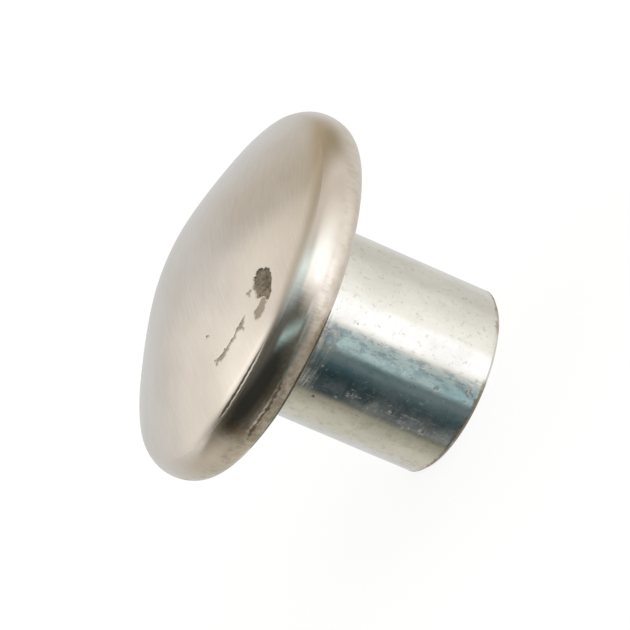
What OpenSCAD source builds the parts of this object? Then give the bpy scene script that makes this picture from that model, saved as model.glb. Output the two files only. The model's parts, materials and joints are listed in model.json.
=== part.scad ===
// Dome-headed rivet nut: a head turned in one piece with a plain barrel, which holds a blind
// threaded hole. It stands on the barrel's open end, with its axis on Z and the dome up.

/* [Head] */
// Diameter of the head
head_d = 15.8; // [14:0.1:24]
// Height of the head, from its seat to the top of the crown
head_h = 4.2; // [3.6:0.1:7]
// Radius of the round at the head's lower edge
seat_edge_r = 0.5; // [0.1:0.05:0.8]
// Height of the straight band round the rim, between its two rounds
rim_band_h = 0.4; // [0.1:0.05:1]
// Radius of the round that turns the rim in towards the crease
rim_r = 1.3; // [0.6:0.05:1.8]
// Slope of the rim where it meets the dome at the crease, in degrees
crease_slope = 36; // [30:1:60]
// Radius of the sphere that the middle of the crown belongs to
crown_r = 10.3; // [8:0.1:20]
// Diameter of the spherical middle of the crown
crown_d = 7.2; // [4:0.1:9]

/* [Barrel] */
// Outer diameter of the barrel
barrel_d = 8; // [7.4:0.1:10]
// Length of the barrel below the head's seat
barrel_len = 8.5; // [5:0.5:20]
// Radius of the fillet in the corner between the barrel and the seat
root_r = 0.2; // [0.1:0.05:0.5]
// Chamfer round the barrel's open end
end_chamfer = 0.15; // [0.1:0.05:0.4]

/* [Threaded hole] */
// Nominal diameter of the thread
thread_d = 6; // [4:0.5:6.5]
// Pitch of the thread; the hole is drilled to the thread's diameter less one pitch
thread_pitch = 1; // [0.5:0.05:1.25]
// Height left solid between the top of the full-width hole and the level of the seat
seat_web_h = 0.2; // [0:0.1:2]
// Angle of the drill point at the hole's blind end, in degrees
drill_angle = 118; // [110:1:135]
// Width that the countersink at the mouth adds to the thread's diameter
mouth_extra_d = 0.4; // [0.2:0.1:0.6]
// Angle of the countersink at the mouth, in degrees
mouth_angle = 90; // [80:1:120]

/* [Hidden] */
$fn = 180;

// Degrees between two points of a round in the outline
small_round_step = 7.5;
broad_round_step = 2;
// How far a cut runs past the face that it opens
overcut = 1;

total_h = barrel_len + head_h;
head_r = head_d / 2;
barrel_r = barrel_d / 2;

// The crown's sphere ends at this radius, height and slope
crown_edge_r = crown_d / 2;
crown_slope = asin(crown_edge_r / crown_r);
crown_edge = [crown_edge_r, total_h - crown_r * (1 - cos(crown_slope))];

// The round at the top of the rim is centred here and ends at the crease
rim_centre = [head_r - rim_r, barrel_len + seat_edge_r + rim_band_h];
crease = rim_centre + rim_r * [sin(crease_slope), cos(crease_slope)];

hole_r = (thread_d - thread_pitch) / 2;
hole_top = barrel_len - seat_web_h;
drill_point_h = hole_r / tan(drill_angle / 2);
mouth_r = (thread_d + mouth_extra_d) / 2;
mouth_h = (mouth_r - hole_r) / tan(mouth_angle / 2);

// Points on a round about centre, from one bearing to another, in degrees from +X
function round_points(centre, radius, start, end, step) =
    let (count = ceil(abs(end - start) / step))
    [for (i = [0:count])
        let (bearing = start + (end - start) * i / count)
        centre + radius * [cos(bearing), sin(bearing)]];

// Points on the one arc that leaves start at start_bearing and reaches end, without those two
function arc_between(start, end, start_bearing, step) =
    let (chord = end - start,
         half_turn = atan2(chord.y, chord.x) - start_bearing,
         count = max(1, ceil(abs(2 * half_turn) / step)))
    [for (i = [1:1:count - 1])
        let (share = i / count,
             bearing = start_bearing + half_turn * share,
             reach = norm(chord) * sin(half_turn * share) / sin(half_turn))
        start + reach * [cos(bearing), sin(bearing)]];

// Half section of the barrel, up to the fillet at its root
barrel_outline = concat(
    [[0, 0], [barrel_r - end_chamfer, 0], [barrel_r, end_chamfer]],
    round_points([barrel_r + root_r, barrel_len - root_r], root_r, 180, 90, small_round_step));

// Half section of the rim, from the seat to the crease
rim_outline = concat(
    round_points([head_r - seat_edge_r, barrel_len + seat_edge_r], seat_edge_r, -90, 0,
        small_round_step),
    round_points(rim_centre, rim_r, 0, 90 - crease_slope, small_round_step));

// Half section of the dome: a shoulder that runs on from the crown as one arc, and the crown
shoulder_outline = arc_between(crown_edge, crease, -crown_slope, broad_round_step);
crown_outline = round_points([0, total_h - crown_r], crown_r, 90, 90 - crown_slope,
    broad_round_step);

// Every point up to the crease, then the dome's points taken backwards, in to the axis
function reversed(points) = [for (i = [len(points) - 1:-1:0]) points[i]];
blank_outline = concat(barrel_outline, rim_outline, reversed(shoulder_outline),
    reversed(crown_outline));

// The turned blank, before its hole is drilled
module blank() {
    rotate_extrude()
        polygon(blank_outline);
}

// The blind hole at the thread's minor diameter, with its drill point and countersunk mouth
module threaded_hole() {
    rotate_extrude()
        polygon([
            [0, -overcut],
            [mouth_r + overcut * tan(mouth_angle / 2), -overcut],
            [hole_r, mouth_h],
            [hole_r, hole_top],
            [0, hole_top + drill_point_h]
        ]);
}

module rivet_nut() {
    color("#c4bcb0")
        difference() {
            blank();
            threaded_hole();
        }
}

rivet_nut();
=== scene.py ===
"""Looks of the domed rivet nut: its body with thread and flaws, its finish, the studio, the camera."""
import json
import math
from types import SimpleNamespace

import bpy
import numpy as np
from mathutils import Matrix, Vector


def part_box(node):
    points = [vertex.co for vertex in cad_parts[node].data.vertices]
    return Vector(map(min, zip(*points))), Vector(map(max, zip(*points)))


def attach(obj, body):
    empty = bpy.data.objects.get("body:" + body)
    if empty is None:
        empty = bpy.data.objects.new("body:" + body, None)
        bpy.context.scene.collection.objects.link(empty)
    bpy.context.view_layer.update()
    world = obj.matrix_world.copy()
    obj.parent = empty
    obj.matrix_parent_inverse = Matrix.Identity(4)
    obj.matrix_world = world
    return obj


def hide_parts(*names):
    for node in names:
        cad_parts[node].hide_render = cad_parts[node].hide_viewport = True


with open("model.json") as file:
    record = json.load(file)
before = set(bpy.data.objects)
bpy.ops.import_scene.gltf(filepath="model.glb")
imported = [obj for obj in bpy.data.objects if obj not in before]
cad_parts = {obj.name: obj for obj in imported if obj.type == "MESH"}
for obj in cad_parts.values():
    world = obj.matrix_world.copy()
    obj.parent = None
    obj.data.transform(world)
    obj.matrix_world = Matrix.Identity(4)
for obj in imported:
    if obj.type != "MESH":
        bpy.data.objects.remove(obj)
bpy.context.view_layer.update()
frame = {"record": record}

# ---------------------------------------------------------------- sizes, in millimetres

MM = 0.001
MOUNTS = {m["name"]: m for m in frame["record"]["mounts"]}
BODY_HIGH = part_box("rivet_nut")[1]

TOTAL_H = BODY_HIGH.z / MM
HEAD_R = BODY_HIGH.x / MM
SEAT_Z = MOUNTS["head_seat"]["pos_m"][2] / MM
BARREL_R = MOUNTS["barrel"]["dims"]["r_mm"]
HOLE_R = MOUNTS["thread"]["dims"]["r_mm"]

# The rest of the section, as the source of the part has it
SEAT_EDGE_R = 0.5
RIM_BAND_H = 0.4
RIM_R = 1.3
CREASE_SLOPE = 36
CROWN_R = 10.3
CROWN_EDGE_R = 3.6
ROOT_R = 0.2
END_CHAMFER = 0.15
SEAT_WEB_H = 0.2
DRILL_ANGLE = 118
MOUTH_R = 3.2

# How far from the crease its corner is worn round
CREASE_EASE = 0.4

THREAD_PITCH = 1.0
THREAD_DEPTH = 0.5
THREAD_CREST = THREAD_PITCH / 4
THREAD_HALF_ANGLE = 30
THREAD_FLANK = THREAD_DEPTH * math.tan(math.radians(THREAD_HALF_ANGLE))
THREAD_RUNOUT = 1.2

HOLE_TOP = SEAT_Z - SEAT_WEB_H
HOLE_APEX_Z = HOLE_TOP + HOLE_R / math.tan(math.radians(DRILL_ANGLE / 2))
MOUTH_H = MOUTH_R - HOLE_R
RIM_CENTRE = (HEAD_R - RIM_R, SEAT_Z + SEAT_EDGE_R + RIM_BAND_H)
CREASE_R = RIM_CENTRE[0] + RIM_R * math.sin(math.radians(CREASE_SLOPE))
CREASE_Z = RIM_CENTRE[1] + RIM_R * math.cos(math.radians(CREASE_SLOPE))

# Bearings are degrees round the axis from +X. The side in the photograph has the finer mesh, with
# these turns between the points of a ring.
SEEN_SIDE = (-136, -70)
PLAIN_TURN = 3.0
FLAW_TURN = 0.38
BARREL_TURN = 0.7

# Steps between the rings. Above SCORED_Z the barrel's rings are closer, for the tool marks.
CROWN_STEP = 0.3
DOME_STEP = 0.04
CREASE_STEP = 0.025
RIM_STEP = 0.05
FLAT_STEP = 0.4
ROOT_STEP = 0.04
SCORED_Z = 6.8
SCORED_STEP = 0.03
BARREL_STEP = 0.06
END_STEP = 0.2
THREAD_STEP = 0.06

# ---------------------------------------------------------------- outline of the section


def line(start, end, step):
    """Points on a straight line of the outline, from start up to but without end."""
    count = max(1, math.ceil(math.dist(start, end) / step))
    return [
        (
            start[0] + (end[0] - start[0]) * i / count,
            start[1] + (end[1] - start[1]) * i / count,
        )
        for i in range(count)
    ]


def arc(centre, radius, first, last, step):
    """Points on a round of the outline, from one bearing to another in degrees, without the last."""
    count = max(1, math.ceil(math.radians(abs(last - first)) * radius / step))
    turns = [math.radians(first + (last - first) * i / count) for i in range(count)]
    return [(centre[0] + radius * math.cos(t), centre[1] + radius * math.sin(t)) for t in turns]


def arc_between(start, end, bearing, step):
    """Points on the one arc that leaves start at that bearing and reaches end, without end."""
    chord = math.dist(start, end)
    half_turn = math.atan2(end[1] - start[1], end[0] - start[0]) - math.radians(bearing)
    count = max(1, math.ceil(chord / step))
    points = []
    for i in range(count):
        turn = half_turn * i / count
        reach = chord * math.sin(turn) / math.sin(half_turn)
        heading = math.radians(bearing) + turn
        points.append((start[0] + reach * math.cos(heading), start[1] + reach * math.sin(heading)))
    return points


def ease_corner(before, corner, after, reach_before, reach_after, step):
    """The points before and after a corner that are farther from it than the reach, and between
    them a curve that leaves and arrives along the old lines."""
    before = [p for p in before if math.dist(p, corner) > reach_before]
    after = [p for p in after if math.dist(p, corner) > reach_after]
    start, end = before[-1], after[0]
    count = math.ceil((reach_before + reach_after) / step)
    curve = []
    for i in range(1, count):
        t = i / count
        shares = ((1 - t) ** 2, 2 * t * (1 - t), t * t)
        curve.append(tuple(sum(s * p[k] for s, p in zip(shares, (start, corner, end))) for k in (0, 1)))
    return before + curve, after


def ellipse_quarter(centre, across, down, step):
    """Points on a quarter of an ellipse, from its widest place to its foot, without the last."""
    count = math.ceil((across + down) / step)
    turns = [math.pi / 2 * i / count for i in range(count)]
    return [(centre[0] + across * math.cos(t), centre[1] - down * math.sin(t)) for t in turns]


def bearings(turn):
    """Bearings of one ring: close together on the seen side, PLAIN_TURN apart on the rest."""
    first, last = SEEN_SIDE
    seen = np.linspace(first, last, max(2, round((last - first) / turn) + 1))
    rest = 360 - (last - first)
    plain = last + np.linspace(0, rest, round(rest / PLAIN_TURN) + 1)[1:-1]
    return np.concatenate([seen, plain])


def bands():
    """The outline from the crown's top, down the outside and up the hole, as (name, points, turn)."""
    crown_slope = math.degrees(math.asin(CROWN_EDGE_R / CROWN_R))
    crown_centre = (0, TOTAL_H - CROWN_R)
    crown_edge = (CROWN_EDGE_R, crown_centre[1] + CROWN_R * math.cos(math.radians(crown_slope)))
    crease = (CREASE_R, CREASE_Z)
    foot = (HEAD_R - SEAT_EDGE_R, RIM_CENTRE[1])
    crown = arc(crown_centre, CROWN_R, 90, 90 - crown_slope, CROWN_STEP)[1:]
    dome = arc_between(crown_edge, crease, -crown_slope, DOME_STEP)
    rim = arc(RIM_CENTRE, RIM_R, 90 - CREASE_SLOPE, 0, RIM_STEP)
    dome, rim = ease_corner(dome, crease, rim, CREASE_EASE, CREASE_EASE / 2, CREASE_STEP)
    seat_edge = ellipse_quarter(foot, SEAT_EDGE_R, foot[1] - SEAT_Z, RIM_STEP)
    root_centre = (BARREL_R + ROOT_R, SEAT_Z - ROOT_R)
    root = arc(root_centre, ROOT_R, 90, 180, ROOT_STEP)
    scored = line((BARREL_R, root_centre[1]), (BARREL_R, SCORED_Z), SCORED_STEP)
    chamfer = line((BARREL_R, END_CHAMFER), (BARREL_R - END_CHAMFER, 0), RIM_STEP)
    ceiling = line((HOLE_R, HOLE_TOP), (0, HOLE_TOP), FLAT_STEP)
    drilled = [(r, HOLE_TOP + (HOLE_APEX_Z - HOLE_TOP) * (1 - r / HOLE_R)) for r, z in ceiling]
    return [
        ("crown", crown, PLAIN_TURN),
        ("dome", dome, FLAW_TURN),
        ("rim", rim, FLAW_TURN),
        ("rim", seat_edge, FLAW_TURN),
        ("seat", line((foot[0], SEAT_Z), (root_centre[0], SEAT_Z), FLAT_STEP), PLAIN_TURN),
        ("barrel", root, BARREL_TURN),
        ("barrel", scored, BARREL_TURN),
        ("barrel", line((BARREL_R, SCORED_Z), (BARREL_R, END_CHAMFER), BARREL_STEP), BARREL_TURN),
        ("barrel", chamfer, BARREL_TURN),
        ("end", line((BARREL_R - END_CHAMFER, 0), (MOUTH_R, 0), END_STEP), PLAIN_TURN),
        ("bore", line((MOUTH_R, 0), (HOLE_R, MOUTH_H), THREAD_STEP), PLAIN_TURN),
        ("bore", line((HOLE_R, MOUTH_H), (HOLE_R, HOLE_TOP), THREAD_STEP), PLAIN_TURN),
        ("bore", drilled, PLAIN_TURN),
    ]


# ---------------------------------------------------------------- marks on the surface


def smooth(value, low, high):
    """0 where value is at low, 1 where it is at high, and a smooth step between them."""
    share = np.clip((value - low) / (high - low), 0, 1)
    return share * share * (3 - 2 * share)


def lumps(points, wavelength, seed, waves=12):
    """A smooth random field of about -1 to 1 over points, with lumps of that size."""
    rng = np.random.default_rng(seed)
    total = np.zeros(len(points))
    for _ in range(waves):
        heading = rng.normal(size=3)
        heading *= rng.uniform(0.7, 1.4) / np.linalg.norm(heading)
        total += np.cos(points @ heading * 2 * math.pi / wavelength + rng.uniform(0, 6.28))
    return total / math.sqrt(waves)


def outline_gap(x, y, corners):
    """Distance from each point to a closed outline, negative inside it."""
    gap = np.full(x.shape, np.inf)
    inside = np.zeros(x.shape, bool)
    for (ax, ay), (bx, by) in zip(corners, corners[1:] + corners[:1]):
        ex, ey = bx - ax, by - ay
        share = np.clip(((x - ax) * ex + (y - ay) * ey) / (ex * ex + ey * ey), 0, 1)
        gap = np.minimum(gap, np.hypot(x - ax - share * ex, y - ay - share * ey))
        if ay != by:
            inside ^= ((ay > y) != (by > y)) & (x < ax + ex * (y - ay) / ey)
    return np.where(inside, -gap, gap)


def stroke_gap(x, y, path):
    """Distance from each point to a stroke through (x, y, half width), negative inside it."""
    gap = np.full(x.shape, np.inf)
    for (ax, ay, aw), (bx, by, bw) in zip(path, path[1:]):
        ex, ey = bx - ax, by - ay
        share = np.clip(((x - ax) * ex + (y - ay) * ey) / (ex * ex + ey * ey), 0, 1)
        away = np.hypot(x - ax - share * ex, y - ay - share * ey)
        gap = np.minimum(gap, away - aw - (bw - aw) * share)
    return gap


# A chip in the plating beside the crease. Its outline is laid flat about this bearing and radius:
# x runs round the head and y outwards.
CHIP_BEARING = -83
CHIP_R = 6.0
CHIP = [
    (0.48, -0.41), (0.54, -0.33), (0.48, -0.17), (0.56, -0.11), (0.59, 0.04), (0.43, 0.14),
    (0.25, 0.33), (0.04, 0.40), (-0.12, 0.46), (-0.22, 0.57), (-0.40, 0.60), (-0.57, 0.60),
    (-0.60, 0.47), (-0.54, 0.34), (-0.56, 0.18), (-0.66, 0.13), (-0.72, 0.02), (-0.49, -0.16),
    (-0.41, -0.36), (-0.20, -0.45), (0.04, -0.51), (0.28, -0.50),
]
CHIP_TAIL = [
    (-0.56, 0.33), (-0.60, 0.50), (-0.74, 0.58), (-0.98, 0.62), (-1.26, 0.60), (-1.46, 0.44),
    (-1.40, 0.33), (-1.16, 0.18), (-1.02, 0.26), (-0.84, 0.28), (-0.68, 0.26),
]
CHIP_STREAK = [(-0.50, -0.42, 0.05), (-0.67, -0.51, 0.07), (-0.78, -0.40, 0.04)]

# A line of pits on the dome, as (bearing, radius, half width)
PIT_LINE = [
    (-97.3, 5.77, 0.02), (-98.5, 5.80, 0.04), (-100.0, 5.83, 0.05), (-101.0, 5.88, 0.08),
    (-102.0, 5.88, 0.10), (-103.0, 5.83, 0.08), (-104.5, 5.77, 0.05), (-106.0, 5.82, 0.05),
    (-107.0, 5.90, 0.05), (-108.0, 5.83, 0.04), (-111.5, 5.83, 0.05), (-113.0, 5.87, 0.06),
    (-114.0, 5.80, 0.09), (-116.5, 5.85, 0.10), (-118.5, 5.79, 0.08), (-120.0, 5.74, 0.08),
    (-121.7, 5.79, 0.02),
]
PIT_SPUR = [(-102.0, 5.95, 0.09), (-102.8, 6.13, 0.03)]
PIT_FOOT = [(-119.5, 5.72, 0.05), (-121.0, 5.62, 0.03)]
LONE_PIT = [(-116.3, 4.65, 0.02), (-117.6, 4.60, 0.045), (-119.0, 4.56, 0.03)]

# A rolled groove along the crease, as (bearing, radius, half width); the material paints shade in it
GROOVE = [
    (-86.0, 7.30, 0.01), (-94.0, 7.31, 0.03), (-100.0, 7.31, 0.05), (-108.0, 7.32, 0.07),
    (-114.0, 7.33, 0.075), (-119.0, 7.36, 0.075), (-124.0, 7.39, 0.08), (-128.0, 7.41, 0.08),
    (-131.0, 7.43, 0.02),
]

# A lap line round the rim and, under it, a line of painted shade along the head's foot edge, as
# (bearing, height, half width), and brown stains and painted highlights above them, as (bearing,
# height, half width round it, half height)
RIM_LAP = [
    (-107.6, 9.38, 0.01), (-109.0, 9.29, 0.04), (-110.0, 9.24, 0.05), (-112.0, 9.20, 0.05),
    (-114.0, 9.21, 0.05), (-116.0, 9.18, 0.05), (-118.0, 9.16, 0.06), (-120.0, 9.17, 0.06),
    (-122.0, 9.20, 0.05), (-124.0, 9.17, 0.05), (-126.0, 9.19, 0.04), (-128.0, 9.17, 0.07),
    (-129.5, 9.14, 0.04), (-131.5, 9.05, 0.02),
]
# Painted shade: a dark line along the head's foot edge, with a shallow cut under it
FOOT_SHADE_LINE = [
    (-85.0, 8.60, 0.02), (-91.0, 8.60, 0.06), (-96.0, 8.60, 0.07), (-101.0, 8.61, 0.06),
    (-106.0, 8.64, 0.07), (-112.0, 8.63, 0.05), (-120.0, 8.62, 0.045), (-130.0, 8.62, 0.04),
    (-140.0, 8.62, 0.02),
]
RIM_STAINS = [
    (-113, 9.47, 1.3, 0.14), (-104, 9.43, 1.0, 0.13), (-97, 9.37, 0.7, 0.11), (-130, 9.85, 0.4, 0.5),
    (-127, 9.50, 0.4, 0.10), (-94, 8.78, 0.55, 0.10), (-90, 8.72, 0.35, 0.08),
    (-106, 8.66, 0.20, 0.08), (-122, 9.10, 0.9, 0.07),
]
# Painted highlights: near-white patches laid on the rim's colour
RIM_PAINTED_HIGHLIGHTS = [
    (-66, 9.75, 0.9, 0.30), (-76, 9.66, 0.4, 0.14), (-97, 10.08, 1.5, 0.30), (-113, 9.98, 1.3, 0.28),
]

# Craters in the barrel, as (bearing, height, radius), and scratches, as (bearing, height, half
# width). The material darkens those past bearing -130, low on the barrel in the photograph.
CRATERS = [
    (-77.5, 7.10, 0.05), (-80.3, 6.04, 0.05), (-70.3, 3.30, 0.03), (-96.9, 1.92, 0.07),
    (-88.4, 2.84, 0.06), (-104.8, 2.60, 0.04), (-121.3, 3.12, 0.05), (-124.8, 1.55, 0.05),
    (-120.9, 4.56, 0.04), (-124.4, 3.78, 0.04), (-102.0, 1.40, 0.04), (-88.6, 0.92, 0.04),
    (-92.6, 0.50, 0.09), (-96.8, 0.60, 0.04), (-86.0, 4.40, 0.03), (-111.0, 6.66, 0.03),
]
SCRATCHES = [
    [(-75.9, 5.34, 0.02), (-76.8, 5.18, 0.04), (-77.8, 5.02, 0.01)],
    [(-85.6, 0.66, 0.02), (-84.2, 0.40, 0.02), (-82.8, 0.16, 0.01)],
    [
        (-88.0, 0.74, 0.02), (-89.4, 0.68, 0.07), (-90.8, 0.60, 0.09), (-92.4, 0.56, 0.05),
        (-93.6, 0.48, 0.02),
    ],
    [(-130.0, 6.27, 0.02), (-131.6, 6.25, 0.06), (-133.2, 6.22, 0.01)],
    [(-130.6, 4.28, 0.01), (-134.0, 4.24, 0.02), (-137.0, 4.34, 0.015), (-138.6, 4.44, 0.01)],
]

# Painted teal reflections on the barrel, as (bearing, height, half width round it, half height)
TEAL_REFLECTIONS = [
    (-113, 5.9, 0.50, 0.9), (-112, 2.2, 0.35, 0.8), (-113, 0.8, 0.40, 0.6), (-95, 1.1, 0.30, 0.7),
    (-101, 4.6, 0.20, 1.2),
]

# How far the ragged edges of the marks wander, and the size and seeds of their lumps
RAGGED_SIZE = 0.22
RAGGED_SEEDS = (11, 12)
CHIP_RAGGED = 0.02
PIT_RAGGED = 0.025
RIM_RAGGED = 0.02
GROOVE_RAGGED = 0.01
LAP_RAGGED = 0.03
FOOT_SHADE_RAGGED = 0.01
BROWN_RAGGED = (0.1, 0.04)
BARREL_RAGGED = 0.035


def round_path(path, radius):
    """A stroke given by bearing, laid flat at that radius."""
    return [(math.radians(bearing) * radius, other, width) for bearing, other, width in path]


def soft_patches(x, z, places, radius):
    """How much each point lies in soft patches laid flat at that radius, 0 to 1: the rim's brown
    stains, its painted highlights and the barrel's painted teal reflections.
    """
    stain = np.zeros(x.shape)
    for centre, height, half_w, half_h in places:
        across = (x - math.radians(centre) * radius) / half_w
        stain = np.maximum(stain, np.exp(-across**2 - ((z - height) / half_h) ** 2))
    return stain


def head_marks(bearing, r, ragged):
    """Gaps in millimetres to the head's dark chip and to its lighter pits, negative inside them."""
    x = np.radians(bearing - CHIP_BEARING) * CHIP_R + CHIP_RAGGED * ragged[0]
    y = r - CHIP_R + CHIP_RAGGED * ragged[1]
    chip = outline_gap(x, y, CHIP)
    pits = np.minimum(outline_gap(x, y, CHIP_TAIL), stroke_gap(x, y, CHIP_STREAK))
    x = np.radians(bearing) * CHIP_R + PIT_RAGGED * ragged[0]
    y = r + PIT_RAGGED * ragged[1]
    for path in (PIT_LINE, PIT_SPUR, PIT_FOOT, LONE_PIT):
        pits = np.minimum(pits, stroke_gap(x, y, round_path(path, CHIP_R)))
    return chip, pits


def rim_marks(bearing, r, z, ragged):
    """Gaps in millimetres to the groove, the lap line and the painted shade line at the foot, then
    how brown each point is and how much painted highlight it takes, 0 to 1."""
    x = np.radians(bearing) * HEAD_R + RIM_RAGGED * ragged[0]
    groove = stroke_gap(x, r + GROOVE_RAGGED * ragged[1], round_path(GROOVE, HEAD_R))
    lap = stroke_gap(x, z + LAP_RAGGED * ragged[1], round_path(RIM_LAP, HEAD_R))
    foot_shade = stroke_gap(x, z + FOOT_SHADE_RAGGED * ragged[0], round_path(FOOT_SHADE_LINE, HEAD_R))
    brown_x, brown_z = x + BROWN_RAGGED[0] * ragged[1], z + BROWN_RAGGED[1] * ragged[0]
    brown = soft_patches(brown_x, brown_z, RIM_STAINS, HEAD_R)
    return groove, lap, foot_shade, brown, soft_patches(x, z, RIM_PAINTED_HIGHLIGHTS, HEAD_R)


def barrel_marks(bearing, z, ragged):
    """The gap in millimetres to the barrel's craters and scratches, and how much painted teal
    reflection each point takes.
    """
    x = np.radians(bearing) * BARREL_R + BARREL_RAGGED * ragged[0]
    y = z + BARREL_RAGGED * ragged[1]
    gap = np.full(x.shape, np.inf)
    for path in SCRATCHES:
        gap = np.minimum(gap, stroke_gap(x, y, round_path(path, BARREL_R)))
    for centre, height, radius in CRATERS:
        away = np.hypot(x - math.radians(centre) * BARREL_R, y - height)
        gap = np.minimum(gap, away - radius)
    return gap, soft_patches(x, z, TEAL_REFLECTIONS, BARREL_R)


# A gap that is far outside any mark, and the least and greatest gap that a shader is given
FAR = 1.0
GAP_RANGE = (-0.5, FAR)

# Only beyond this radius can the groove be cut
BY_CREASE_R = 7


def surface_marks(name, bearing, r, z, flat):
    """The marks on each point: gaps in millimetres, negative inside, and stains from 0 to 1."""
    ragged = [lumps(flat, RAGGED_SIZE, seed) for seed in RAGGED_SEEDS]
    on_dome = (name == "dome") | (name == "crown")
    on_rim = name == "rim"
    on_barrel = plain_barrel(name, z)
    by_crease = (on_dome | on_rim) & (r > BY_CREASE_R) & (z > RIM_CENTRE[1])
    chip, pits = head_marks(bearing, r, ragged)
    groove, lap, foot_shade, brown, shine = rim_marks(bearing, r, z, ragged)
    crater, stain = barrel_marks(bearing, z, ragged)
    return {
        "chip": np.where(on_dome, chip, FAR),
        "pits": np.where(on_dome, pits, FAR),
        "groove": np.where(by_crease, groove, FAR),
        "rim_line": np.where(on_rim, lap, FAR),
        "rim_seam": np.where(on_rim, foot_shade, FAR),
        "crater": np.where(on_barrel, crater, FAR),
        # brown stains on the rim, painted teal reflections on the barrel
        "stain": np.where(on_barrel, stain, np.where(on_rim, brown, 0.0)),
        "shine": np.where(on_rim, shine, 0.0),
    }


def plain_barrel(name, z):
    """Which points are on the straight side of the barrel."""
    return (name == "barrel") & (z > END_CHAMFER) & (z < SEAT_Z - ROOT_R)


# Depths of the flaws in millimetres. The groove's is for each millimetre in from its edge, and it
# fades out round the head. Each slope is how far outside and inside its edge a flaw slopes down.
CHIP_DEPTH = 0.035
PIT_DEPTH = 0.012
CHIP_SLOPE = (-0.012, 0.03)
CHIP_FLOOR = 0.35
CHIP_FLOOR_SIZE = 0.12
GROOVE_DEPTH = 0.085
GROOVE_FADE = (98, 112)
LAP_DEPTH = 0.006
LAP_SLOPE = (-0.03, 0.05)
FOOT_SHADE_DEPTH = 0.015
FOOT_SHADE_SLOPE = (-0.04, 0.04)
CRATER_DEPTH = 0.010
CRATER_SLOPE = (-0.02, 0.07)

# The surface waves a little, the rim lies a hair further in, and a tool has scored the barrel's
# root. The waves and the tool marks have these sizes, and the marks run round the barrel.
WAVE_MEAN = 0.004
WAVE_SWING = 0.003
WAVE_SIZE = 3.0
RIM_LOWER = 0.004
SCORE_DEPTH = 0.006
SCORE_FADE = (6.95, 7.15)
SCORE_SIZE = 0.16
SCORE_LONG = (0.05, 0.05, 1)

FLOOR_SEED = 13
WAVE_SEED = 14
SCORE_SEED = 15


def flaw_depth(marks, bearing, flat):
    """How deep the flaws cut into each point."""
    uneven = 1 + CHIP_FLOOR * lumps(flat, CHIP_FLOOR_SIZE, FLOOR_SEED)
    groove = GROOVE_DEPTH * np.clip(-marks["groove"], 0, 1)
    cuts = (
        CHIP_DEPTH * smooth(-marks["chip"], *CHIP_SLOPE) * uneven,
        PIT_DEPTH * smooth(-marks["pits"], *CHIP_SLOPE) * uneven,
        groove * smooth(-bearing, *GROOVE_FADE),
        LAP_DEPTH * smooth(-marks["rim_line"], *LAP_SLOPE),
        FOOT_SHADE_DEPTH * smooth(-marks["rim_seam"], *FOOT_SHADE_SLOPE),
        CRATER_DEPTH * smooth(-marks["crater"], *CRATER_SLOPE),
    )
    return np.max(cuts, axis=0)


def wave_depth(name, z, flat):
    """How far the surface lies inside the plain section by its waves and its tool marks."""
    on_rim = name == "rim"
    on_barrel = plain_barrel(name, z)
    waves = WAVE_MEAN + WAVE_SWING * np.clip(lumps(flat, WAVE_SIZE, WAVE_SEED), -1, 1)
    waved = (name == "dome") | (name == "crown") | on_rim | on_barrel
    scores = np.clip(lumps(flat * SCORE_LONG, SCORE_SIZE, SCORE_SEED), -1, 1)
    scores = smooth(z, *SCORE_FADE) * (0.5 + 0.5 * scores)
    depth = np.where(waved, waves, 0) + np.where(on_rim, RIM_LOWER, 0)
    return depth + np.where(on_barrel, SCORE_DEPTH * scores, 0)


# How far below the top of the hole the thread's run-out ends
RUNOUT_END = 0.2


def thread_depth(bearing, z):
    """Depth of the M6 thread outside the drilled hole, from 0 at its crests to THREAD_DEPTH."""
    phase = np.mod(z - bearing / 360 * THREAD_PITCH, THREAD_PITCH)
    middle = (THREAD_PITCH - THREAD_CREST) / 2
    from_middle = np.abs(phase - middle)
    depth = (middle - from_middle) / THREAD_FLANK * THREAD_DEPTH
    fade = smooth(z, HOLE_TOP - RUNOUT_END, HOLE_TOP - THREAD_RUNOUT)
    return np.clip(depth, 0, THREAD_DEPTH) * fade


# ---------------------------------------------------------------- the mesh


def ring_faces(first, second, a, b):
    """Triangles between two rings, whose points start at first and second and lie at bearings a, b."""
    faces = []
    i = j = 0
    while i < len(a) or j < len(b):
        next_a = a[i + 1] if i + 1 < len(a) else a[0] + 360
        next_b = b[j + 1] if j + 1 < len(b) else b[0] + 360
        at_a = first + i % len(a)
        at_b = second + j % len(b)
        if j == len(b) or (i < len(a) and next_a <= next_b):
            faces.append((at_a, at_b, first + (i + 1) % len(a)))
            i += 1
        else:
            faces.append((at_a, at_b, second + (j + 1) % len(b)))
            j += 1
    return faces


def quad_faces(first, second, count):
    """Quads between two rings with the same bearings."""
    k = np.arange(count)
    after = (k + 1) % count
    return np.stack([first + k, second + k, second + after, first + after], axis=1).tolist()


def body_rings():
    """Every ring: its name, its radius and height, its outward direction, and its points' turn."""
    rows = [(name, point, turn) for name, points, turn in bands() for point in points]
    places = np.array([point for _, point, _ in rows])
    padded = np.vstack([[0, TOTAL_H], places, [0, places[-1][1]]])
    along = padded[2:] - padded[:-2]
    along /= np.linalg.norm(along, axis=1)[:, None]
    outward = np.stack([-along[:, 1], along[:, 0]], axis=1)
    return [(rows[i][0], places[i], outward[i], rows[i][2]) for i in range(len(rows))]


HEAD_FINISH, BARREL_FINISH, BORE_FINISH = 0, 1, 2
FINISHES = {
    "crown": HEAD_FINISH,
    "dome": HEAD_FINISH,
    "rim": HEAD_FINISH,
    "seat": HEAD_FINISH,
    "barrel": BARREL_FINISH,
    "end": BARREL_FINISH,
    "bore": BORE_FINISH,
}
SHARP_ANGLE = 30


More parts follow.
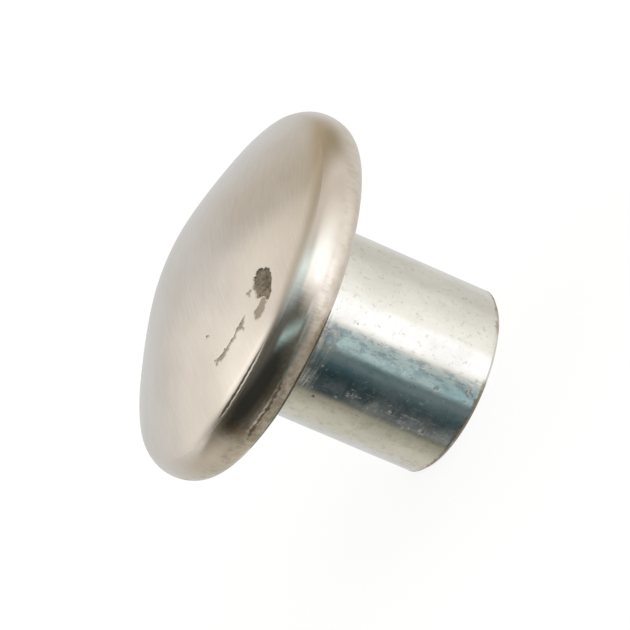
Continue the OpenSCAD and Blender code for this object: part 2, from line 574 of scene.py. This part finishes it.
def body_points(rings, turns):
    """Every point of the rings after its flaws are cut, and the marks on it."""
    counts = [len(turns[turn]) for _, _, _, turn in rings]
    name = np.repeat([name for name, _, _, _ in rings], counts)
    bearing = np.concatenate([turns[turn] for _, _, _, turn in rings])
    r, z = np.repeat([place for _, place, _, _ in rings], counts, axis=0).T
    out_r, out_z = np.repeat([outward for _, _, outward, _ in rings], counts, axis=0).T
    angle = np.radians(bearing)
    flat = np.stack([r * np.cos(angle), r * np.sin(angle), z], axis=1)
    marks = surface_marks(name, bearing, r, z, flat)
    depth = flaw_depth(marks, bearing, flat) + wave_depth(name, z, flat)
    r = r - depth * out_r
    z = z - depth * out_z
    threaded = np.maximum(r, HOLE_R + thread_depth(bearing, z))
    r = np.where((name == "bore") & (z < HOLE_TOP), threaded, r)
    return np.stack([r * np.cos(angle), r * np.sin(angle), z], axis=1), marks


def body_faces(rings, turns):
    """Faces between the rings and their finishes. Point 0 is the crown's top, the last the apex."""
    counts = [len(turns[turn]) for _, _, _, turn in rings]
    starts = [1 + sum(counts[:i]) for i in range(len(counts))]
    last = 1 + sum(counts)
    faces = [(0, 1 + k, 1 + (k + 1) % counts[0]) for k in range(counts[0])]
    finish = [HEAD_FINISH] * len(faces)
    for i in range(len(rings) - 1):
        a, b = turns[rings[i][3]], turns[rings[i + 1][3]]
        if len(a) == len(b):
            new = quad_faces(starts[i], starts[i + 1], len(a))
        else:
            new = ring_faces(starts[i], starts[i + 1], a, b)
        faces += new
        finish += [FINISHES[rings[i][0]]] * len(new)
    fan = [(starts[-1] + k, last, starts[-1] + (k + 1) % counts[-1]) for k in range(counts[-1])]
    return faces + fan, finish + [BORE_FINISH] * len(fan)


def build_body():
    """The nut as one closed mesh, with its flaws cut in and its marks kept as attributes."""
    rings = body_rings()
    turns = {turn: bearings(turn) for turn in (PLAIN_TURN, FLAW_TURN, BARREL_TURN)}
    points, marks = body_points(rings, turns)
    points = np.vstack([[0, 0, TOTAL_H], points, [0, 0, HOLE_APEX_Z]])
    faces, finish = body_faces(rings, turns)
    mesh = bpy.data.meshes.new("rivet_nut_body")
    mesh.from_pydata((points * MM).tolist(), [], faces)
    mesh.polygons.foreach_set("material_index", finish)
    for key, values in marks.items():
        attribute = mesh.attributes.new(key, "FLOAT", "POINT")
        full = np.concatenate([[values[0]], np.clip(values, *GAP_RANGE), [values[-1]]])
        attribute.data.foreach_set("value", full.astype(np.float32))
    mesh.validate()
    mesh.shade_smooth()
    mesh.set_sharp_from_angle(angle=math.radians(SHARP_ANGLE))
    body = bpy.data.objects.new("rivet_nut_body", mesh)
    bpy.context.scene.collection.objects.link(body)
    return body


# ---------------------------------------------------------------- node trees


class Nodes:
    """Short calls that add nodes to one tree."""

    def __init__(self, tree):
        self.tree = tree
        tree.nodes.clear()

    def add(self, kind, inputs=None, **settings):
        node = self.tree.nodes.new(kind)
        for key, value in settings.items():
            setattr(node, key, value)
        for key, value in (inputs or {}).items():
            self.put(node.inputs[key], value)
        return node

    def put(self, socket, value):
        if isinstance(value, bpy.types.NodeSocket):
            self.tree.links.new(value, socket)
        else:
            socket.default_value = value

    def math(self, operation, a, b=0.0):
        return self.add("ShaderNodeMath", {0: a, 1: b}, operation=operation).outputs[0]

    def plus(self, total, *others):
        for other in others:
            total = self.math("ADD", total, other)
        return total

    def times(self, product, *others):
        for other in others:
            product = self.math("MULTIPLY", product, other)
        return product

    def larger(self, a, b):
        return self.math("MAXIMUM", a, b)

    def split(self, vector):
        """The x, y and z of a place."""
        return self.add("ShaderNodeSeparateXYZ", {0: vector}).outputs

    def dot(self, a, b):
        node = self.add("ShaderNodeVectorMath", {0: a, 1: b}, operation="DOT_PRODUCT")
        return node.outputs["Value"]

    def scaled(self, vector, scale, turn=0.0):
        """The vector turned about Z by so many degrees, then scaled along each axis."""
        if turn:
            vector = self.add(
                "ShaderNodeVectorRotate",
                {"Vector": vector, "Angle": math.radians(turn)},
                rotation_type="Z_AXIS",
            ).outputs[0]
        return self.add("ShaderNodeVectorMath", {0: vector, 1: scale}, operation="MULTIPLY").outputs[0]

    def round_axis(self, vector, spread, climb):
        """Places that change only with the bearing, by spread, and with the height, by climb."""
        flat = self.scaled(vector, (1, 1, 0))
        away = self.add("ShaderNodeVectorMath", {0: flat}, operation="NORMALIZE").outputs[0]
        away = self.scaled(away, (spread, spread, 0))
        high = self.scaled(vector, (0, 0, climb))
        return self.add("ShaderNodeVectorMath", {0: away, 1: high}, operation="ADD").outputs[0]

    def step(self, value, low, high, start=0.0, end=1.0):
        """A smooth step from start, where value is low, to end, where it is high."""
        inputs = {"Value": value, "From Min": low, "From Max": high, "To Min": start, "To Max": end}
        return self.add("ShaderNodeMapRange", inputs, interpolation_type="SMOOTHSTEP").outputs[0]

    def mix(self, share, a, b):
        node = self.add("ShaderNodeMix", data_type="RGBA")
        for socket, value in ((node.inputs[0], share), (node.inputs[6], a), (node.inputs[7], b)):
            self.put(socket, value)
        return node.outputs[2]

    def layered(self, colour, layers):
        """A colour under layers, each given as (share, colour)."""
        for share, layer in layers:
            colour = self.mix(share, colour, layer)
        return colour

    def noise(self, vector, scale=1.0, detail=2.0, rough=0.5):
        inputs = {"Vector": vector, "Scale": scale, "Detail": detail, "Roughness": rough}
        return self.add("ShaderNodeTexNoise", inputs).outputs[0]

    def attribute(self, name):
        return self.add("ShaderNodeAttribute", attribute_name=name).outputs["Fac"]

    def bump(self, height, strength, distance):
        """The surface's direction after a relief of that height times the distance in millimetres."""
        inputs = {"Strength": strength, "Distance": distance * MM, "Height": height}
        return self.add("ShaderNodeBump", inputs).outputs[0]


# ---------------------------------------------------------------- materials


def start_material(name):
    """A new material with its nodes, its shader, and places on the surface in millimetres."""
    material = bpy.data.materials.new(name)
    material.use_nodes = True
    nodes = Nodes(material.node_tree)
    shader = nodes.add("ShaderNodeBsdfPrincipled", {"Metallic": 1.0})
    output = nodes.add("ShaderNodeOutputMaterial")
    nodes.tree.links.new(shader.outputs[0], output.inputs[0])
    place = nodes.add("ShaderNodeTexCoord").outputs["Object"]
    place = nodes.scaled(place, (1 / MM, 1 / MM, 1 / MM))
    return material, nodes, shader, place


# Colours of the head and the barrel, as Blender's linear values. The plate's own colours, the first
# three of the head and two of the barrel, were fitted to the photograph.
HEAD_NICKEL = (0.808, 0.739, 0.676, 1.0)
HEAD_TARNISH = (0.725, 0.657, 0.591, 1.0)
HEAD_WORN = (0.928, 0.869, 0.811, 1.0)
RIM_BROWN = (0.562, 0.494, 0.395, 1.0)
# Brown of the bare chip, also painted darkly into the groove as shade
CHIP_AND_GROOVE_SHADE_BROWN = (0.23, 0.18, 0.14, 1.0)
CHIP_OLIVE = (0.46, 0.38, 0.29, 1.0)
CHIP_RUST = (0.4, 0.28, 0.17, 1.0)
PIT_BROWN = (0.66, 0.535, 0.41, 1.0)
RIM_RUST = (0.5, 0.36, 0.23, 1.0)
# Near-black painted along the head's foot edge as shade
FOOT_SHADE_DARK = (0.10, 0.085, 0.07, 1.0)
LAP_BROWN = (0.17, 0.14, 0.11, 1.0)
RIM_DIRT = (0.36, 0.30, 0.22, 1.0)
RIM_LIGHT = (0.80, 0.74, 0.66, 1.0)
# Near-white painted onto the rim as highlights
PAINTED_RIM_HIGHLIGHT = (0.95, 0.93, 0.9, 1.0)

# Where the head's zones fade in, from the first to the second of these heights or places across
DOME_HEIGHT = (CREASE_Z - 0.06, CREASE_Z + 0.22)
LOW_RIM_HEIGHT = (9.6, 9.2)
SMEAR_HEIGHT = (10.6, 10.3)
SMEAR_X = (2.5, 0.0)
DIRTY_X = (-1.0, -2.6)
DIRTY_Y = (-5.2, -6.0)
CHIP_PALE_X = (0.9, 0.1)
CHIP_RUST_Y = (-6.0, -6.15)
SATIN_HEIGHT = (10.83, 10.56)
CREASE_HEIGHT = (CREASE_Z, CREASE_Z - 0.08)

# The dome's brushing: fine across its strokes and long along them, turned about the axis
BRUSH_SCALE = (0.9, 14, 1)
BRUSH_TURN = -52
HEAD_RELIEF = 0.006


def head_patterns(nodes, place):
    """The head's zones, marks and patterns, which its colour, roughness and relief share."""
    x, y, height = nodes.split(place)
    low_rim = nodes.step(height, *LOW_RIM_HEIGHT)
    streaks = nodes.noise(nodes.round_axis(place, 40, 1.2), detail=4, rough=0.6)
    mottle = nodes.noise(place, scale=2.2, detail=4, rough=0.65)
    shine = nodes.attribute("shine")
    smear = nodes.plus(nodes.times(streaks, 0.35), nodes.times(mottle, 0.65))
    smear = nodes.times(
        nodes.step(smear, 0.42, 0.66),
        nodes.step(low_rim, 0, 1, start=0.12, end=0.8),
        nodes.step(height, *SMEAR_HEIGHT),
        nodes.step(x, *SMEAR_X, start=0.45),
        nodes.math("SUBTRACT", 1.0, shine),
    )
    in_pit = nodes.step(nodes.attribute("pits"), 0.04, -0.06)
    in_chip = nodes.step(nodes.attribute("chip"), 0.03, -0.035)
    return SimpleNamespace(
        x=x,
        y=y,
        height=height,
        on_dome=nodes.step(height, *DOME_HEIGHT),
        low_rim=low_rim,
        dirty=nodes.times(low_rim, nodes.step(x, *DIRTY_X), nodes.step(y, *DIRTY_Y)),
        strokes=nodes.noise(nodes.scaled(place, BRUSH_SCALE, BRUSH_TURN), detail=3, rough=0.6),
        cloud=nodes.noise(place, scale=0.45, detail=3),
        grain=nodes.noise(place, scale=7, detail=3, rough=0.6),
        patches=nodes.noise(nodes.round_axis(place, 26, 3.6), detail=4, rough=0.65),
        streaks=streaks,
        mottle=mottle,
        shine=shine,
        smear=smear,
        in_pit=in_pit,
        in_chip=in_chip,
        bare=nodes.larger(in_chip, in_pit),
        on_line=nodes.step(nodes.attribute("rim_line"), 0.06, -0.04, end=0.8),
    )


def chip_colour(nodes, head):
    """The bare chip: dark, paler on one side, rusty at its outer edge, with fine grains."""
    pale = nodes.plus(head.mottle, nodes.step(head.x, *CHIP_PALE_X, start=-0.10, end=0.22))
    colour = nodes.mix(nodes.step(pale, 0.40, 0.68), CHIP_AND_GROOVE_SHADE_BROWN, CHIP_OLIVE)
    edge = nodes.step(nodes.attribute("chip"), -0.14, -0.03, end=0.8)
    edge = nodes.times(edge, nodes.step(head.y, *CHIP_RUST_Y))
    colour = nodes.mix(edge, colour, CHIP_RUST)
    return nodes.mix(nodes.step(head.grain, 0.35, 0.7, end=0.3), colour, PIT_BROWN)


def head_colour(nodes, head):
    """Plate with tarnish and wear, then the rim's smears, dirt and painted highlights, then the marks,
    the painted shade in the groove and the painted shade along the foot.
    """
    # painted shade along the head's foot edge
    on_foot_shade = nodes.step(nodes.attribute("rim_seam"), 0.03, -0.02, end=0.85)
    # painted shade in the groove
    groove_shade = nodes.step(nodes.attribute("groove"), -0.03, -0.085, end=0.7)
    patchy = nodes.mix(nodes.step(head.patches, 0.38, 0.62), RIM_DIRT, RIM_LIGHT)
    layers = (
        (nodes.step(head.cloud, 0.35, 0.7, end=0.6), HEAD_TARNISH),
        (nodes.times(nodes.step(head.strokes, 0.4, 0.7, end=0.25), head.on_dome), HEAD_WORN),
        (head.smear, RIM_BROWN),
        (nodes.times(head.dirty, 0.55), patchy),
        # painted highlight on the rim
        (nodes.times(head.shine, 0.8), PAINTED_RIM_HIGHLIGHT),
        (nodes.times(head.in_pit, 0.85), PIT_BROWN),
        (nodes.times(nodes.attribute("stain"), 0.85), RIM_RUST),
        (head.on_line, LAP_BROWN),
        # painted shade along the head's foot edge
        (on_foot_shade, FOOT_SHADE_DARK),
        # painted shade in the groove
        (groove_shade, CHIP_AND_GROOVE_SHADE_BROWN),
        (head.in_chip, chip_colour(nodes, head)),
    )
    return nodes.layered(HEAD_NICKEL, layers)


def head_roughness(nodes, head):
    """Satin on the dome, smoother at the crease's edge, duller low on the rim and in the marks."""
    rough = nodes.plus(
        nodes.step(head.height, *SATIN_HEIGHT, start=0.15, end=0.07),
        nodes.step(head.height, *CREASE_HEIGHT, end=0.08),
        nodes.step(head.low_rim, 0, 1, end=0.04),
        nodes.step(head.grain, 0.3, 0.8, start=-0.02, end=0.03),
        nodes.step(head.strokes, 0.3, 0.7, start=-0.02, end=0.02),
        nodes.times(head.smear, 0.10),
    )
    rough = nodes.larger(rough, nodes.times(head.on_line, 0.6))
    return nodes.larger(rough, nodes.times(head.bare, 0.5))


def head_relief(nodes, head):
    """Brushing on the dome, streaks round the rim, and folds where the low rim is dirty."""
    brushing = nodes.times(head.strokes, head.on_dome, 0.45)
    rim_streaks = nodes.times(
        head.streaks,
        nodes.step(head.on_dome, 0, 1, start=0.6, end=0.0),
        nodes.step(head.low_rim, 0, 1, start=0.8, end=2.0),
    )
    folds = nodes.times(head.patches, head.dirty, 3.5)
    return nodes.plus(brushing, rim_streaks, folds)


def head_material():
    """Warm satin nickel: straight fine brushing on the dome, a brighter rim, chips and pits."""
    material, nodes, shader, place = start_material("nickel_head")
    head = head_patterns(nodes, place)
    relief = head_relief(nodes, head)
    nodes.put(shader.inputs["Base Color"], head_colour(nodes, head))
    nodes.put(shader.inputs["Roughness"], head_roughness(nodes, head))
    nodes.put(shader.inputs["Metallic"], nodes.step(head.bare, 0, 1, start=1.0, end=0.6))
    nodes.put(shader.inputs["Normal"], nodes.bump(relief, 0.5, HEAD_RELIEF))
    return material


BARREL_NICKEL = (0.905, 0.905, 0.877, 1.0)
BARREL_DULL = (0.815, 0.813, 0.782, 1.0)
SPECK_DARK = (0.47, 0.47, 0.43, 1.0)
# Teal painted onto the barrel as reflections
PAINTED_TEAL_REFLECTION = (0.47, 0.66, 0.68, 1.0)
EDGE_COPPER = (0.47, 0.38, 0.3, 1.0)
BARREL_DIRT = (0.66, 0.65, 0.57, 1.0)
BARREL_STREAK_GREY = (0.43, 0.47, 0.50, 1.0)
SPOT_PALE = (0.90, 0.92, 0.92, 1.0)
SPOT_DARK = (0.12, 0.12, 0.09, 1.0)

# Where the barrel's zones fade in, from the first to the second of these heights or places across
ROOT_HEIGHT = (6.5, 6.8)
SMEARED_HEIGHT = (6.3, 6.7)
EDGE_HEIGHT = (0.48, 0.22)
EDGE_WORN_HEIGHT = (0.45, 0.10)
DIRT_X = (-1.8, -2.8)
STREAK_X = (0.46, 0.22)
STREAK_END_X = (-0.85, 0.0)
STREAK_Y = (-3, -3.5)
DARK_SPOT_X = (-2.4, -2.6)
BRIGHT_EDGE_X = (0.3, 0.8)
BRIGHT_EDGE_END_X = (2.8, 2.2)
SCORED_X = (0.7, -0.3)
SMEARED_X = (0.5, 0.2)
SMEARED_END_X = (-1.2, -0.5)
BARREL_RELIEF = 0.012


def worn_edge(nodes, x, height, blotches):
    """Where the plate is worn through at the open end: in blotches, and less on the bright side."""
    worn = nodes.plus(nodes.step(height, *EDGE_WORN_HEIGHT, end=0.35), nodes.times(blotches, 0.8))
    bright = nodes.times(nodes.step(x, *BRIGHT_EDGE_X), nodes.step(x, *BRIGHT_EDGE_END_X))
    return nodes.times(
        nodes.step(worn, 0.58, 0.74, end=0.85),
        nodes.step(height, *EDGE_HEIGHT),
        nodes.step(bright, 0, 1, start=1.0, end=0.15),
    )


def barrel_patterns(nodes, place):
    """The barrel's zones, marks and patterns, which its colour, roughness and relief share."""
    x, y, height = nodes.split(place)
    specks = nodes.noise(place, scale=5, detail=2, rough=0.65)
    blotches = nodes.noise(place, scale=2.4, detail=5, rough=0.75)
    in_crater = nodes.step(nodes.attribute("crater"), 0.03, -0.03)
    return SimpleNamespace(
        x=x,
        y=y,
        height=height,
        near_root=nodes.step(height, *ROOT_HEIGHT),
        cloud=nodes.noise(nodes.scaled(place, (1, 1, 0.5)), scale=0.9, detail=3),
        dust=nodes.noise(place, scale=3, detail=4, rough=0.7),
        dents=nodes.noise(nodes.scaled(place, (1, 1, 0.8)), detail=2),
        dirt=nodes.noise(place, scale=1.7, detail=5, rough=0.7),
        drawn=nodes.noise(nodes.round_axis(place, 34, 0.9), detail=3, rough=0.6),
        axial_streaks=nodes.noise(nodes.round_axis(place, 14, 1.5), detail=5, rough=0.7),
        turned=nodes.noise(nodes.scaled(place, (0.5, 0.5, 8)), detail=3, rough=0.65),
        specks=specks,
        blotches=blotches,
        worn=worn_edge(nodes, x, height, blotches),
        in_crater=in_crater,
        pale=nodes.times(in_crater, nodes.step(specks, 0.35, 0.50, start=0.1, end=0.6)),
    )


def barrel_colour(nodes, barrel):
    """Plate with dull clouds and specks, then painted teal reflections, dirt and darker bluish
    streaks in a strip round the barrel, then spots and the worn edge.
    """
    dirt = nodes.step(barrel.dirt, 0.47, 0.66)
    # darker bluish streaks along the barrel in a narrow strip round it
    streaked = nodes.times(
        nodes.step(barrel.x, *STREAK_X),
        nodes.step(barrel.x, *STREAK_END_X),
        nodes.step(barrel.axial_streaks, 0.46, 0.57, end=0.75),
        nodes.step(barrel.y, *STREAK_Y),
    )
    layers = (
        (nodes.step(barrel.cloud, 0.35, 0.7), BARREL_DULL),
        (nodes.step(barrel.specks, 0.57, 0.72, end=0.42), SPECK_DARK),
        # painted teal reflection on the barrel
        (nodes.times(nodes.attribute("stain"), 0.6), PAINTED_TEAL_REFLECTION),
        (nodes.times(dirt, nodes.step(barrel.x, *DIRT_X, start=0.15, end=0.6)), BARREL_DIRT),
        (streaked, BARREL_STREAK_GREY),
        (barrel.pale, SPOT_PALE),
        (nodes.times(barrel.in_crater, nodes.step(barrel.x, *DARK_SPOT_X), 0.9), SPOT_DARK),
        (barrel.worn, EDGE_COPPER),
    )
    return nodes.layered(BARREL_NICKEL, layers)


def barrel_roughness(nodes, barrel):
    """Bright plate with rough blotches and dust, scored and smeared at the root."""
    dust = nodes.step(barrel.dust, 0.57, 0.74, end=0.26)
    scored = nodes.times(
        nodes.step(barrel.turned, 0.35, 0.70, start=0.03, end=0.34),
        barrel.near_root,
        nodes.step(barrel.blotches, 0.35, 0.60, start=0.4),
        nodes.step(barrel.x, *SCORED_X, start=0.3),
    )
    smeared = nodes.times(
        nodes.step(barrel.x, *SMEARED_X),
        nodes.step(barrel.x, *SMEARED_END_X),
        nodes.step(barrel.blotches, 0.40, 0.62, start=0.05, end=0.25),
        nodes.step(barrel.height, *SMEARED_HEIGHT),
    )
    rough = nodes.plus(
        nodes.step(barrel.blotches, 0.42, 0.66, start=0.035, end=0.11),
        nodes.times(dust, nodes.step(barrel.near_root, 0, 1, start=1.0, end=0.2)),
        nodes.step(barrel.drawn, 0.56, 0.72, end=0.10),
        scored,
        smeared,
    )
    rough = nodes.larger(rough, nodes.times(barrel.in_crater, 0.45))
    return nodes.larger(rough, nodes.times(barrel.worn, 0.45))


def barrel_material():
    """Cooler bright plate: fine specks, rough blotches, painted teal reflections, and tool marks at the
    root.
    """
    material, nodes, shader, place = start_material("nickel_barrel")
    barrel = barrel_patterns(nodes, place)
    relief = nodes.plus(
        nodes.times(barrel.specks, 0.08),
        nodes.times(barrel.drawn, 0.15),
        nodes.times(barrel.dents, 0.85),
        nodes.times(barrel.turned, barrel.near_root, 0.45),
    )
    nodes.put(shader.inputs["Base Color"], barrel_colour(nodes, barrel))
    nodes.put(shader.inputs["Roughness"], barrel_roughness(nodes, barrel))
    nodes.put(shader.inputs["Metallic"], nodes.step(barrel.pale, 0, 1, start=1.0, end=0.1))
    nodes.put(shader.inputs["Normal"], nodes.bump(relief, 0.5, BARREL_RELIEF))
    return material


BORE_LIGHT = (0.60, 0.58, 0.53, 1.0)
BORE_DULL = (0.46, 0.43, 0.38, 1.0)
BORE_RELIEF = 0.01


def bore_material():
    """Thread and drilled hole: thin plate with dull clouds and fine turned lines."""
    material, nodes, shader, place = start_material("nickel_bore")
    turned = nodes.noise(nodes.scaled(place, (0.5, 0.5, 12)), detail=2, rough=0.6)
    cloud = nodes.noise(place, scale=1.5, detail=3)
    colour = nodes.mix(nodes.step(cloud, 0.35, 0.7), BORE_LIGHT, BORE_DULL)
    nodes.put(shader.inputs["Base Color"], colour)
    nodes.put(shader.inputs["Roughness"], nodes.step(turned, 0.2, 0.8, start=0.22, end=0.40))
    nodes.put(shader.inputs["Normal"], nodes.bump(turned, 0.4, BORE_RELIEF))
    return material


# ---------------------------------------------------------------- camera

# The photograph was taken with the nut on its side. The nut stands here, so the camera leans. Its
# values were fitted to the nut's outline: angles in degrees, the distance in millimetres, and px
# as pixels of the photograph.
IMAGE_SIZE = 630
SENSOR = 36.0
CLIP_START = 0.01
CLIP_END = 10
FOCAL_PX = 4907.9
LOOKS_DOWN = 19.141
LEANS = 23.298
DISTANCE = 197.5
SEAT_CENTRE_PX = (268.75, 303.62)


def photo_axes():
    """The photograph's right, up and forward, as directions in the part's frame."""
    tilt, lean = math.radians(LOOKS_DOWN), math.radians(LEANS)
    forward = Vector((0, math.cos(tilt), -math.sin(tilt)))
    climb = Vector((0, math.sin(tilt), math.cos(tilt)))
    side = Vector((1, 0, 0))
    right = -math.cos(lean) * climb + math.sin(lean) * side
    up = math.sin(lean) * climb + math.cos(lean) * side
    return right, up, forward


def add_camera():
    """The camera of the photograph."""
    right, up, forward = photo_axes()
    across = (SEAT_CENTRE_PX[0] - IMAGE_SIZE / 2) / FOCAL_PX * DISTANCE
    below = (SEAT_CENTRE_PX[1] - IMAGE_SIZE / 2) / FOCAL_PX * DISTANCE
    place = Vector((0, 0, SEAT_Z)) - (across * right - below * up + DISTANCE * forward)
    data = bpy.data.cameras.new("photo_camera")
    data.sensor_width = SENSOR
    data.lens = FOCAL_PX / IMAGE_SIZE * SENSOR
    data.clip_start = CLIP_START
    data.clip_end = CLIP_END
    camera = bpy.data.objects.new("photo_camera", data)
    turn = Matrix((right, up, -forward)).transposed()
    camera.matrix_world = Matrix.Translation(place * MM) @ turn.to_4x4()
    bpy.context.scene.collection.objects.link(camera)
    bpy.context.scene.camera = camera


# ---------------------------------------------------------------- studio

# Cards and lights round the nut, fitted to the photograph's reflections and rounded. Azimuth is 0
# towards the camera and grows to the photograph's right, elevation grows upwards in the
# photograph, and later panels cover earlier ones. Each panel is (name, azimuth, elevation, half
# width, half height, roll, soft edge, colour), in degrees.
PANELS = [
    ("far wall", -157, -1, 57, 60, 57, 6, (0.67, 0.68, 0.68)),
    ("side wall", -93, 0, 23, 34, -57, 31, (0.87, 0.85, 0.8)),
    ("brown beam", -151, 74, 58, 22, 11, 29, (0.38, 0.33, 0.23)),
    ("brown card", -147, 49, 24, 12, 9.5, 34, (0.47, 0.4, 0.28)),
    ("right wall", 131, 9, 40, 30, 60, 40, (0.74, 0.73, 0.69)),
    ("table", -138, -74, 74, 22, 13, 8, (0.27, 0.26, 0.2)),
    ("brown side", 60, -46, 42, 26, -14, 16, (0.4, 0.38, 0.34)),
    ("dim card", -35, -16, 60, 47, -45, 25, (0.11, 0.11, 0.093)),
    ("dark card", -36, -36, 34, 27, 24, 28, (0.027, 0.027, 0.023)),
    ("dark corner", 21, -64, 3.5, 23, -9, 9.5, (0.01, 0.027, 0.034)),
    ("table edge", -163, -57, 38, 20, -15, 40, (0.57, 0.54, 0.46)),
    ("dark strip", 35, -31, 6.5, 19, -12, 28, (0.085, 0.15, 0.17)),
    ("grey card", 32, -2.5, 7.5, 4.5, 8.5, 5, (0.77, 0.76, 0.76)),
    ("teal window", 35, -18, 2, 12, -11, 9.5, (0.56, 0.72, 0.73)),
    ("teal gap", -4.5, -8, 26, 2, -12, 16, (0.57, 0.79, 0.77)),
    ("teal strip", -42, 37, 24, 9.5, -4.5, 30, (1.09, 1.33, 1.36)),
    ("softbox", 30, 22, 42, 12, -27, 17, (1.32, 1.35, 1.36)),
    ("white card", -94, 9.5, 4.5, 13, -39, 17, (1.35, 1.33, 1.25)),
    ("ceiling", 10, 80, 48, 17, 8.5, 37, (0.74, 0.71, 0.66)),
    ("white strip", 48, 11, 2, 13, -32, 4, (1.15, 1.13, 1.15)),
]

# What lies between the panels: white where the metal reflects it, and a fill for dull surfaces
STUDIO_WHITE = (1, 0.98, 0.92)
STUDIO_FILL = (0.9, 0.9, 0.9)
CAMERA_WHITE = (1, 1, 1, 1)


def toward(azimuth, elevation):
    """Direction of a place in the studio."""
    right, up, forward = photo_axes()
    a, e = math.radians(azimuth), math.radians(elevation)
    return math.cos(e) * (math.sin(a) * right - math.cos(a) * forward) + math.sin(e) * up


def panel_axes(azimuth, elevation, roll):
    """Across, up and outward directions of a panel."""
    outward = toward(azimuth, elevation)
    across = toward(azimuth + 90, 0)
    rise = outward.cross(across)
    if rise.dot(toward(azimuth, elevation + 1)) < rise.dot(toward(azimuth, elevation - 1)):
        rise = -rise
    turn = math.radians(roll)
    return (
        across * math.cos(turn) + rise * math.sin(turn),
        rise * math.cos(turn) - across * math.sin(turn),
        outward,
    )


def light_studio():
    """The world: plain white for the camera, and the studio's panels for what lights the nut."""
    scene = bpy.context.scene
    world = bpy.data.worlds.new("studio")
    world.use_nodes = True
    scene.world = world
    nodes = Nodes(world.node_tree)
    direction = nodes.add("ShaderNodeTexCoord").outputs["Generated"]
    path = nodes.add("ShaderNodeLightPath").outputs
    direct = nodes.larger(path["Is Camera Ray"], path["Is Glossy Ray"])
    direct = nodes.larger(direct, path["Is Transmission Ray"])
    colour = nodes.mix(direct, (*STUDIO_FILL, 1.0), (*STUDIO_WHITE, 1.0))
    for _, azimuth, elevation, half_w, half_h, roll, soft, panel_colour in PANELS:
        across, rise, outward = panel_axes(azimuth, elevation, roll)
        x = nodes.math("ARCTAN2", nodes.dot(direction, across), nodes.dot(direction, outward))
        y = nodes.math("ARCSINE", nodes.dot(direction, rise))
        x, y = nodes.math("ABSOLUTE", x), nodes.math("ABSOLUTE", y)
        edge = math.radians(soft) / 2
        half_w, half_h = math.radians(half_w), math.radians(half_h)
        inside = nodes.times(
            nodes.step(x, half_w + edge, half_w - edge),
            nodes.step(y, half_h + edge, half_h - edge),
        )
        colour = nodes.mix(inside, colour, (*panel_colour, 1.0))
    colour = nodes.mix(path["Is Camera Ray"], colour, CAMERA_WHITE)
    light = nodes.add("ShaderNodeBackground", {"Color": colour, "Strength": 1.0})
    output = nodes.add("ShaderNodeOutputWorld")
    nodes.tree.links.new(light.outputs[0], output.inputs[0])
    scene.view_settings.view_transform = "Standard"


FLOOR_SIZE = 4.0
FLOOR_GREY = (0.30, 0.30, 0.30, 1)
FLOOR_GLOW = 0.87


def add_floor():
    """A plain floor that the camera sees as pale, and that keeps the nut's soft shadow."""
    half = FLOOR_SIZE / 2
    mesh = bpy.data.meshes.new("floor")
    corners = [(-half, -half, 0), (half, -half, 0), (half, half, 0), (-half, half, 0)]
    mesh.from_pydata(corners, [], [(0, 1, 2, 3)])
    floor = bpy.data.objects.new("floor", mesh)
    material = bpy.data.materials.new("pale_floor")
    material.use_nodes = True
    nodes = Nodes(material.node_tree)
    diffuse = nodes.add("ShaderNodeBsdfDiffuse", {"Color": FLOOR_GREY})
    seen = nodes.add("ShaderNodeLightPath").outputs["Is Camera Ray"]
    glow = nodes.add("ShaderNodeEmission", {"Strength": nodes.times(seen, FLOOR_GLOW)})
    both = nodes.add("ShaderNodeAddShader", {0: diffuse.outputs[0], 1: glow.outputs[0]})
    output = nodes.add("ShaderNodeOutputMaterial")
    nodes.tree.links.new(both.outputs[0], output.inputs[0])
    mesh.materials.append(material)
    bpy.context.scene.collection.objects.link(floor)
    floor.visible_glossy = False


# ---------------------------------------------------------------- the scene

nut = build_body()
for material in (head_material(), barrel_material(), bore_material()):
    nut.data.materials.append(material)
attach(nut, "root")
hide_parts("rivet_nut")

add_camera()
light_studio()
add_floor()

bpy.context.view_layer.update()
